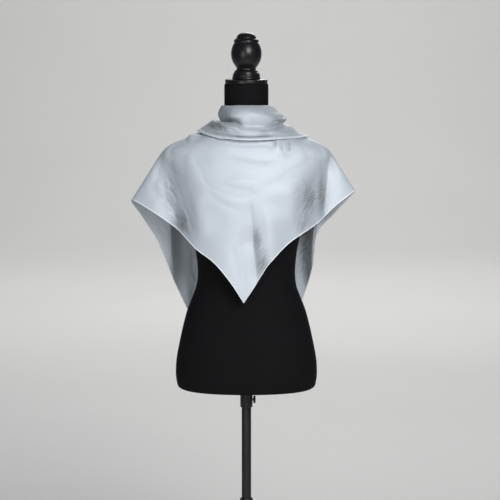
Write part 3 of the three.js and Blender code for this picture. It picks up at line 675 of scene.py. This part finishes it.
def cloth_mesh(name, grid, share, thick):
    """A closed loop of thin cloth round the middle surface given by a grid in millimetres.

    share says how crushed it is and how much shade is painted at the grid's points, outside and
    then inside.
    """
    columns, rows = grid.shape[:2]
    half = grid_normals(grid) * (thick / 2)
    points = np.concatenate([(grid + half).reshape(-1, 3), (grid - half).reshape(-1, 3)])
    c, r = np.meshgrid(np.arange(columns), np.arange(rows - 1), indexing="ij")
    c, r = c.ravel(), r.ravel()
    corners = np.stack([
        np.stack([c + right, r + below], -1)
        for right, below in ((0, 0), (1, 0), (1, 1), (0, 1))
    ], 1)
    outer = (corners[..., 0] % columns) * rows + corners[..., 1]
    inner = (outer + columns * rows)[:, ::-1]
    k = np.arange(columns)
    ends = []
    for row, turn in ((0, 1), (rows - 1, -1)):
        a, b = k * rows + row, (k + 1) % columns * rows + row
        quad = np.stack([b, a, a + columns * rows, b + columns * rows], -1)
        ends.append(quad[:, ::turn])
    faces = np.concatenate([outer, inner, *ends])
    piece = new_piece(name, points, faces.tolist())
    across = line_places(np.concatenate([grid[:, -1], grid[:1, -1]])) * MM
    down = np.linalg.norm(np.diff(grid, axis=1), axis=-1).mean(0)
    down = np.concatenate([[0], np.cumsum(down)]) * MM
    uv = np.zeros((len(faces) * 4, 2))
    sheet_corners = np.concatenate([corners, corners[:, ::-1]]).reshape(-1, 2)
    uv[: len(sheet_corners), 0] = across[sheet_corners[:, 0]]
    uv[: len(sheet_corners), 1] = down[sheet_corners[:, 1]]
    lay_out(piece, uv.ravel())
    # how crushed the cloth is, which also sets how much shade is painted on it
    crushed = piece.data.attributes.new("crushed", "FLOAT", "POINT")
    crushed.data.foreach_set("value", share.ravel())
    return piece


def rolled_hem(name, grid, wide, thick):
    """A rolled edge round the last row of a cloth's grid, in millimetres, uneven as sewn."""
    line, sides = grid[:, -1], HEM_SIDES
    count = len(line)
    normal = grid_normals(grid)[:, -1]
    down = line - grid[:, -3]
    down /= np.linalg.norm(down, axis=1, keepdims=True)
    place = np.cumsum(np.linalg.norm(np.diff(line, axis=0, prepend=line[-1:]), axis=1))
    uneven = np.ones(count)
    for share, length, shift in HEM_WAVES:
        uneven += share * np.sin(place / length + shift)
    around = np.linspace(0, 2 * math.pi, sides, endpoint=False)[:, None]
    ring = down[:, None] * wide * np.cos(around) + normal[:, None] * thick * np.sin(around)
    middle = (line - down * (wide - HEM_OVER))[:, None]
    points = (middle + ring * uneven[:, None, None]).reshape(-1, 3)
    faces, uv = [], []
    for c in range(count):
        d = (c + 1) % count
        here, beyond = place[c] * MM, place[d] * MM
        for k in range(sides):
            m = (k + 1) % sides
            faces.append((c * sides + k, c * sides + m, d * sides + m, d * sides + k))
            low, high = HEM_SIDE * MM * k, HEM_SIDE * MM * (k + 1)
            uv += [here, low, here, high, beyond, high, beyond, low]
    piece = new_piece(name, points, faces)
    lay_out(piece, uv)
    return piece


# Finishes


class Signal:
    """A value of a shader that can be used in plain arithmetic."""

    def __init__(self, finish, socket):
        self.finish, self.socket = finish, socket

    def _math(self, operation, a, b):
        node = self.finish.node("ShaderNodeMath", {"operation": operation}, {0: a, 1: b})
        return Signal(self.finish, node.outputs[0])

    def __add__(self, other):
        return self._math("ADD", self, other)

    def __sub__(self, other):
        return self._math("SUBTRACT", self, other)

    def __rsub__(self, other):
        return self._math("SUBTRACT", other, self)

    def __mul__(self, other):
        return self._math("MULTIPLY", self, other)

    __radd__ = __add__
    __rmul__ = __mul__


class Finish:
    """A material, built node by node."""

    def __init__(self, name):
        self.material = bpy.data.materials.new(name)
        self.material.use_nodes = True
        self.tree = self.material.node_tree
        self.tree.nodes.clear()
        self.shader = self.node("ShaderNodeBsdfPrincipled", {}, {})
        self.node("ShaderNodeOutputMaterial", {}, {"Surface": self.shader.outputs[0]})

    def node(self, kind, settings, inputs):
        """A node of a kind, with its settings and the values or links of its sockets."""
        made = self.tree.nodes.new(kind)
        for name, value in settings.items():
            setattr(made, name, value)
        for name, value in inputs.items():
            self.feed(made, name, value)
        return made

    def feed(self, node, name, value):
        """A value or a link into one socket."""
        if isinstance(value, Signal):
            value = value.socket
        if isinstance(value, bpy.types.NodeSocket):
            self.tree.links.new(value, node.inputs[name])
        else:
            node.inputs[name].default_value = value

    def look(self, **values):
        """Values or links of the surface shader's sockets, by their names with _ for a space."""
        for name, value in values.items():
            self.feed(self.shader, name.replace("_", " "), value)

    def noise(self, vector, scale, detail):
        """Cloudy noise from 0 to 1."""
        inputs = {"Vector": vector, "Scale": scale, "Detail": detail}
        return Signal(self, self.node("ShaderNodeTexNoise", {}, inputs).outputs["Fac"])

    def wave(self, vector, direction, scale):
        """Soft bands from 0 to 1 across an axis."""
        node = self.node(
            "ShaderNodeTexWave", {"bands_direction": direction, "wave_profile": "SIN"},
            {"Vector": vector, "Scale": scale},
        )
        return Signal(self, node.outputs["Fac"])

    def attribute(self, name):
        """A value that the mesh holds at its points."""
        node = self.node("ShaderNodeAttribute", {"attribute_name": name}, {})
        return Signal(self, node.outputs["Fac"])

    def stretched(self, vector, scale):
        """Coordinates, scaled along each axis."""
        return self.node("ShaderNodeMapping", {}, {"Vector": vector, "Scale": scale}).outputs[0]

    def mixed(self, share, a, b):
        """A colour between two, from a to b."""
        node = self.node("ShaderNodeMix", {"data_type": "RGBA"}, {0: share, 6: a, 7: b})
        return node.outputs[2]

    def bump(self, height, distance):
        """Small relief on the surface, its distance in metres."""
        node = self.node("ShaderNodeBump", {}, {"Height": height, "Distance": distance})
        self.look(Normal=node.outputs[0])

    def object_place(self):
        """Places on the object, in metres."""
        return self.node("ShaderNodeTexCoord", {}, {}).outputs["Object"]


def toned(colour, share):
    """A colour made darker or lighter."""
    return (*(share * c for c in colour[:3]), 1)


def satin(name, colour, settings):
    """Satin: a soft broad sheen, a fine weave, faint slubs, and painted shade where it is crushed.
    """
    finish = Finish(name)
    cloth = finish.node("ShaderNodeUVMap", {"uv_map": "cloth"}, {}).outputs[0]
    cloudy = finish.noise(finish.object_place(), scale=7, detail=3)
    slub = finish.noise(finish.stretched(cloth, (30, 900, 1)), scale=1, detail=2)
    crushed = finish.attribute("crushed")
    crinkle = finish.noise(finish.stretched(cloth, (45, 230, 1)), scale=1, detail=3)
    plain = finish.mixed(cloudy * 0.6 + slub * 0.4, toned(colour, 0.93), tuple(colour))
    finish.look(
        # painted shade: where crushed cloth, folds and hollows are marked, the colour darkens
        # towards a quarter of the satin's
        Base_Color=finish.mixed(crushed * (crinkle * 1.8 - 0.25), plain, toned(colour, 0.25)),
        Roughness=cloudy * 0.06 + (settings.satin_roughness - 0.03),
        Metallic=settings.satin_gloss,
        Sheen_Weight=0.2,
        Sheen_Roughness=0.4,
    )
    weft = finish.wave(cloth, "X", scale=420)
    warp = finish.wave(cloth, "Y", scale=420)
    weave = weft * 0.03 + warp * 0.03 + slub * 0.04
    finish.bump(weave + crinkle * crushed * 3, distance=0.0011)
    return finish.material


def jersey(name, colour):
    """Matt black knitted jersey."""
    finish = Finish(name)
    place = finish.object_place()
    fuzz = finish.noise(place, scale=900, detail=2)
    cloudy = finish.noise(place, scale=9, detail=2)
    finish.look(
        Base_Color=finish.mixed(cloudy, tuple(colour), toned(colour, 1.5)),
        Roughness=fuzz * 0.1 + 0.78,
        Specular_IOR_Level=0.12,
    )
    rib = finish.wave(place, "X", scale=260)
    finish.bump(rib * 0.5 + fuzz, distance=0.00012)
    return finish.material


def lacquer(name, colour):
    """Black lacquer on turned wood, with the grain just showing."""
    finish = Finish(name)
    place = finish.object_place()
    grain = finish.noise(finish.stretched(place, (260, 260, 14)), scale=1, detail=4)
    cloudy = finish.noise(place, scale=24, detail=2)
    finish.look(
        Base_Color=finish.mixed(grain, tuple(colour), toned(colour, 1.7)),
        Roughness=cloudy * 0.08 + 0.3,
        Specular_IOR_Level=0.35,
        Coat_Weight=0.06,
        Coat_Roughness=0.2,
    )
    finish.bump(grain, distance=0.0001)
    return finish.material


def powder_coat(name, colour):
    """Black powder-coated steel with its fine orange peel."""
    finish = Finish(name)
    place = finish.object_place()
    peel = finish.noise(place, scale=1400, detail=2)
    cloudy = finish.noise(place, scale=30, detail=2)
    finish.look(
        Base_Color=finish.mixed(cloudy, tuple(colour), toned(colour, 1.6)),
        Roughness=cloudy * 0.12 + 0.4,
    )
    finish.bump(peel, distance=0.00008)
    return finish.material


def paper(name, colour):
    """Matt studio paper."""
    finish = Finish(name)
    cloudy = finish.noise(finish.object_place(), scale=1.2, detail=3)
    colours = finish.mixed(cloudy, toned(colour, 0.94), tuple(colour))
    finish.look(Base_Color=colours, Roughness=0.9)
    return finish.material


def dressed(piece, material, body, *nodes):
    """The piece with its material, riding on a body and standing for CAD nodes."""
    piece.data.materials.clear()
    piece.data.materials.append(material)
    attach(piece, body)
    if nodes:
        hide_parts(*nodes)
    return piece


# Turned pieces, modelled as by hand


def deselect():
    """Leaves edit mode and deselects everything."""
    if bpy.context.object and bpy.context.object.mode != "OBJECT":
        bpy.ops.object.mode_set(mode="OBJECT")
    bpy.ops.object.select_all(action="DESELECT")


def select_only(piece):
    """Selects one piece alone."""
    deselect()
    piece.select_set(True)
    bpy.context.view_layer.objects.active = piece


def turned(name, rings, segments, hollow=False, soft=0.0):
    """A round body: a circle, extruded up and scaled from ring to ring."""
    deselect()
    first = rings[0]
    bpy.ops.mesh.primitive_circle_add(
        vertices=segments, radius=first.radius * MM, location=(0, 0, first.z * MM),
        fill_type="NOTHING" if hollow else "NGON",
    )
    piece = bpy.context.object
    piece.name = piece.data.name = name
    bpy.ops.object.mode_set(mode="EDIT")
    bpy.ops.mesh.select_all(action="SELECT")
    for before, ring in zip(rings, rings[1:]):
        rise = {"value": (0, 0, (ring.z - before.z) * MM)}
        if hollow:
            bpy.ops.mesh.extrude_edges_move(TRANSFORM_OT_translate=rise)
        else:
            bpy.ops.mesh.extrude_region_move(TRANSFORM_OT_translate=rise)
        grow = ring.radius / before.radius
        bpy.ops.transform.resize(value=(grow, grow, 1))
    bpy.ops.mesh.select_all(action="SELECT")
    bpy.ops.mesh.remove_doubles(threshold=1e-6)
    bpy.ops.mesh.normals_make_consistent(inside=False)
    bpy.ops.object.mode_set(mode="OBJECT")
    bpy.ops.object.transform_apply(location=True, rotation=True, scale=True)
    if soft:
        bevel = piece.modifiers.new("soft edges", "BEVEL")
        bevel.width, bevel.segments, bevel.limit_method = soft * MM, 3, "ANGLE"
        bevel.angle_limit = math.radians(40)
        bpy.ops.object.modifier_apply(modifier=bevel.name)
    bpy.ops.object.shade_smooth_by_angle(angle=math.radians(38))
    return piece


def thumb_screw(name, radius, thick, z, start):
    """A fluted thumb screw with a short shank, pointing out to the right."""
    end = SHANK + thick
    piece = turned(name, [
        Ring(SHANK_RADIUS, 0), Ring(SHANK_RADIUS, SHANK), Ring(radius - CHAMFER, SHANK),
        Ring(radius, SHANK + CHAMFER_RISE), Ring(radius, end - CHAMFER_RISE),
        Ring(radius - CHAMFER, end),
    ], 48)
    select_only(piece)
    for vertex in piece.data.vertices:
        x, y, _ = vertex.co
        if math.hypot(x, y) > 0.8 * radius * MM:
            flute = 1 - FLUTE_SHARE * (1 + math.cos(FLUTES * math.atan2(y, x)))
            vertex.co.x *= flute
            vertex.co.y *= flute
    piece.rotation_euler = (0, math.pi / 2, 0)
    piece.location = (start * MM, 0, z * MM)
    bpy.ops.object.transform_apply(location=True, rotation=True, scale=True)
    return piece


class StoleSettings(bpy.types.PropertyGroup):
    """Sizes and colours of the stole, its form and the studio."""

    satin_colour: bpy.props.FloatVectorProperty(
        name="Satin", description="Colour of the satin", subtype="COLOR", size=4, min=0, max=1,
        default=(0.63, 0.68, 0.74, 1),
    )
    # painted highlight: the rolled hem is a lighter copy of the satin, standing in for the light
    # its rounded edge catches
    hem_highlight_colour: bpy.props.FloatVectorProperty(
        name="Hem", description="Colour of the rolled hem, seen on its edge", subtype="COLOR",
        size=4, min=0, max=1, default=(0.91, 0.955, 1, 1),
    )
    # painted shade: the cowl's satin and its collar hem are darkened copies of the satin, standing
    # in for their dimmer sheen
    cowl_painted_shade: bpy.props.FloatProperty(
        name="Cowl tone", default=0.83, min=0, max=1, subtype="FACTOR",
        description="How light the satin looks where its weave runs round the neck",
    )
    satin_roughness: bpy.props.FloatProperty(
        name="Satin roughness", description="How broad the satin's sheen is", default=0.57,
        min=0, max=1, subtype="FACTOR",
    )
    satin_gloss: bpy.props.FloatProperty(
        name="Satin gloss", description="How much of the satin's light is sheen", default=0.2,
        min=0, max=1, subtype="FACTOR",
    )
    cloth_thickness: bpy.props.FloatProperty(
        name="Cloth thickness", description="Thickness of the satin", default=0.0007, min=0.0002,
        max=0.002, unit="LENGTH",
    )
    hem_radius: bpy.props.FloatProperty(
        name="Hem radius", description="Radius of the rolled hem", default=0.0014, min=0.0005,
        max=0.003, unit="LENGTH",
    )
    cloth_ease: bpy.props.FloatProperty(
        name="Ease", description="Distance of the cloth from the form it rests on", default=0.0028,
        min=0.001, max=0.005, unit="LENGTH",
    )
    black: bpy.props.FloatVectorProperty(
        name="Form", description="Colour of the form, its wood and its stand", subtype="COLOR",
        size=4, min=0, max=1, default=(0.0045, 0.0045, 0.0052, 1),
    )
    wall_colour: bpy.props.FloatVectorProperty(
        name="Studio", description="Colour of the floor and backdrop", subtype="COLOR", size=4,
        min=0, max=1, default=(0.8, 0.785, 0.765, 1),
    )
    key_power: bpy.props.FloatProperty(
        name="Key light", description="Power of the right soft box", default=80, min=0,
        unit="POWER",
    )
    fill_power: bpy.props.FloatProperty(
        name="Fill light", description="Power of the left soft box", default=18, min=0,
        unit="POWER",
    )
    back_power: bpy.props.FloatProperty(
        name="Back light", description="Power of the soft box behind", default=24, min=0,
        unit="POWER",
    )
    wall_power: bpy.props.FloatProperty(
        name="Wall light", description="Power of the light on the backdrop", default=230, min=0,
        unit="POWER",
    )


class STOLE_OT_drape(bpy.types.Operator):
    """Lay the drape over the form, with its rolled hem"""

    bl_idname = "stole.drape"
    bl_label = "Drape"

    def execute(self, context):
        settings = context.scene.stole
        grid, share = drape_grid(settings.cloth_ease / MM)
        drape = cloth_mesh("satin_drape", grid, share, settings.cloth_thickness / MM)
        cloth = satin("satin", settings.satin_colour, settings)
        dressed(drape, cloth, "form", "stole_front", "stole_back")
        wide = DRAPE_HEM_WIDE * settings.hem_radius / MM
        hem = rolled_hem("drape_hem", grid, wide, settings.hem_radius / MM)
        # the hem's lighter satin is a painted highlight
        dressed(hem, satin("satin_hem", settings.hem_highlight_colour, settings), "form")
        return {"FINISHED"}


class STOLE_OT_cowl(bpy.types.Operator):
    """Fold the cowl round the neck, with its turned-down collar"""

    bl_idname = "stole.cowl"
    bl_label = "Cowl"

    def execute(self, context):
        settings = context.scene.stole
        grid, share = cowl_grid(settings.cloth_ease / MM)
        cowl = cloth_mesh("satin_cowl", grid, share, settings.cloth_thickness / MM)
        # the cowl's darker satin and hem colours are painted shade
        colour = toned(settings.satin_colour, settings.cowl_painted_shade)
        cloth = satin("satin_across", colour, settings)
        dressed(cowl, cloth, "form", "stole_neck_wrap", "stole_collar")
        wide = COLLAR_HEM_WIDE * settings.hem_radius / MM
        hem = rolled_hem("collar_hem", grid, wide, settings.hem_radius / MM)
        colour = toned(settings.hem_highlight_colour, settings.cowl_painted_shade)
        dressed(hem, satin("satin_hem_across", colour, settings), "form")
        return {"FINISHED"}


def torso_rings():
    """The torso's level rings, from its lower edge to its upper one, in millimetres."""
    turns = np.arange(TORSO_COLUMNS) * 360 / TORSO_COLUMNS
    heights = np.concatenate([np.linspace(*BODY_RINGS), np.linspace(*NECK_RINGS)])
    rings = [form_point(turns, z, 0) for z in heights]

    def edge(ring, steps):
        return [np.column_stack([ring[:, :2] * share, np.full(len(ring), z)]) for z, share in steps]

    return edge(rings[0], LOWER_EDGE) + rings + edge(rings[-1], UPPER_EDGE)


def ring_faces(rings, columns):
    """The faces of a closed body of level rings, lowest first."""
    faces = []
    for r in range(rings - 1):
        for c in range(columns):
            here, beside = r * columns + c, r * columns + (c + 1) % columns
            faces.append((here, beside, beside + columns, here + columns))
    faces.append(tuple(reversed(range(columns))))
    faces.append(tuple((rings - 1) * columns + c for c in range(columns)))
    return faces


class STOLE_OT_torso(bpy.types.Operator):
    """Make the padded torso with its jersey cover"""

    bl_idname = "stole.torso"
    bl_label = "Torso"

    def execute(self, context):
        rings = torso_rings()
        faces = ring_faces(len(rings), TORSO_COLUMNS)
        torso = new_piece("padded_torso", np.concatenate(rings), faces)
        select_only(torso)
        bpy.ops.object.shade_smooth_by_angle(angle=math.radians(50))
        dressed(torso, jersey("black_jersey", context.scene.stole.black), "form", "form_torso")
        return {"FINISHED"}


class STOLE_OT_wood(bpy.types.Operator):
    """Turn the neck cap and the finial"""

    bl_idname = "stole.wood"
    bl_label = "Cap and finial"

    def execute(self, context):
        wood = lacquer("black_lacquer", context.scene.stole.black)
        cap = turned("turned_cap", CAP_RINGS, 96, soft=1.4)
        dressed(cap, wood, "form", "neck_cap")
        finial = turned("turned_finial", FINIAL_RINGS, 96)
        dressed(finial, wood, "form", "finial")
        return {"FINISHED"}


class STOLE_OT_stand(bpy.types.Operator):
    """Make the socket, pole, clamp, tube, foot and thumb screws"""

    bl_idname = "stole.stand"
    bl_label = "Stand"

    def execute(self, context):
        steel = powder_coat("black_steel_coat", context.scene.stole.black)
        socket = turned("coated_socket", SOCKET_RINGS, 64, hollow=True, soft=0.8)
        dressed(socket, steel, "form", "form_socket")
        screw = thumb_screw("fluted_socket_screw", radius=9, thick=5.6, z=712, start=15.2)
        dressed(screw, steel, "socket_screw", "socket_screw")
        pole = turned("coated_pole", POLE_RINGS, 64, soft=0.6)
        dressed(pole, steel, "pole", "pole")
        clamp = turned("coated_clamp", CLAMP_RINGS, 64, hollow=True, soft=0.5)
        dressed(clamp, steel, "stand", "height_clamp")
        screw = thumb_screw("fluted_clamp_screw", radius=12, thick=9, z=448, start=15.9)
        dressed(screw, steel, "clamp_screw", "clamp_screw")
        tube = turned("coated_tube", TUBE_RINGS, 64, hollow=True, soft=0.4)
        dressed(tube, steel, "stand", "lower_tube")
        foot = turned("coated_foot", FOOT_RINGS, 128, soft=1.2)
        dressed(foot, steel, "stand", "base_plate")
        return {"FINISHED"}


def aim(thing, target):
    """Turns a lamp or camera towards a point."""
    away = [a - b for a, b in zip(thing.location, target)]
    level = math.hypot(away[0], away[1])
    thing.rotation_euler = (math.atan2(level, away[2]), 0, math.atan2(away[0], -away[1]))


def paper_sweep():
    """The floor that bends up into the backdrop."""
    deselect()
    bpy.ops.mesh.primitive_plane_add(size=1)
    sweep = bpy.context.object
    sweep.name = sweep.data.name = "studio_sweep"
    bend, start = SWEEP_BEND, SWEEP_BACK - SWEEP_BEND
    profile = [(SWEEP_FRONT, 0), (start, 0)]
    for k in range(1, BEND_STEPS):
        turn = math.pi / 2 * k / BEND_STEPS
        profile.append((start + bend * math.sin(turn), bend - bend * math.cos(turn)))
    profile += [(SWEEP_BACK, bend), (SWEEP_BACK, SWEEP_TALL)]
    points = [(x, y, z) for y, z in profile for x in (-SWEEP_WIDE, SWEEP_WIDE)]
    faces = [(2 * k, 2 * k + 1, 2 * k + 3, 2 * k + 2) for k in range(len(profile) - 1)]
    sweep.data.clear_geometry()
    sweep.data.from_pydata(points, [], faces)
    sweep.data.shade_smooth()
    return sweep


def light_soft_box(box, power):
    """Sets up one soft box with its power."""
    light = bpy.data.lights.new(box.name, "AREA")
    light.shape, light.size, light.size_y, light.energy = "RECTANGLE", *box.size, power
    lamp = bpy.data.objects.new(box.name, light)
    lamp.location = box.place
    aim(lamp, box.target)
    bpy.context.scene.collection.objects.link(lamp)


class STOLE_OT_studio(bpy.types.Operator):
    """Set up the floor, the backdrop, the soft boxes and the camera"""

    bl_idname = "stole.studio"
    bl_label = "Studio"

    def execute(self, context):
        settings = context.scene.stole
        sweep = paper_sweep()
        sweep.data.materials.append(paper("studio_paper", settings.wall_colour))
        for box in SOFT_BOXES:
            light_soft_box(box, getattr(settings, box.power))

        world = bpy.data.worlds.new("studio_air")
        world.use_nodes = True
        air = world.node_tree.nodes["Background"]
        air.inputs["Color"].default_value = AIR_COLOUR
        air.inputs["Strength"].default_value = AIR_STRENGTH
        context.scene.world = world
        context.scene.view_settings.view_transform = "Standard"

        lens = bpy.data.cameras.new("photo_view")
        lens.lens, lens.sensor_width = LENS, SENSOR
        camera = bpy.data.objects.new("photo_view", lens)
        pitch, (x, y, z) = math.radians(CAMERA_PITCH), CAMERA_TARGET
        camera.location = (
            x, y - CAMERA_DISTANCE * math.cos(pitch), z + CAMERA_DISTANCE * math.sin(pitch),
        )
        aim(camera, CAMERA_TARGET)
        context.scene.collection.objects.link(camera)
        context.scene.camera = camera
        return {"FINISHED"}


class STOLE_PT_panel(bpy.types.Panel):
    """The stole's pieces and settings"""

    bl_label = "Evening stole"
    bl_idname = "STOLE_PT_panel"
    bl_space_type = "VIEW_3D"
    bl_region_type = "UI"
    bl_category = "Stole"

    def draw(self, context):
        for name in StoleSettings.__annotations__:
            self.layout.prop(context.scene.stole, name)
        for operator in OPERATORS:
            self.layout.operator(operator.bl_idname)


OPERATORS = (
    STOLE_OT_studio, STOLE_OT_torso, STOLE_OT_drape, STOLE_OT_cowl, STOLE_OT_wood, STOLE_OT_stand,
)
CLASSES = (StoleSettings, *OPERATORS, STOLE_PT_panel)


def register():
    for cls in CLASSES:
        bpy.utils.register_class(cls)
    bpy.types.Scene.stole = bpy.props.PointerProperty(type=StoleSettings)


def unregister():
    del bpy.types.Scene.stole
    for cls in reversed(CLASSES):
        bpy.utils.unregister_class(cls)


def main():
    register()
    bpy.ops.stole.studio()
    bpy.ops.stole.torso()
    bpy.ops.stole.drape()
    bpy.ops.stole.cowl()
    bpy.ops.stole.wood()
    bpy.ops.stole.stand()


if __name__ == "__main__":
    main()
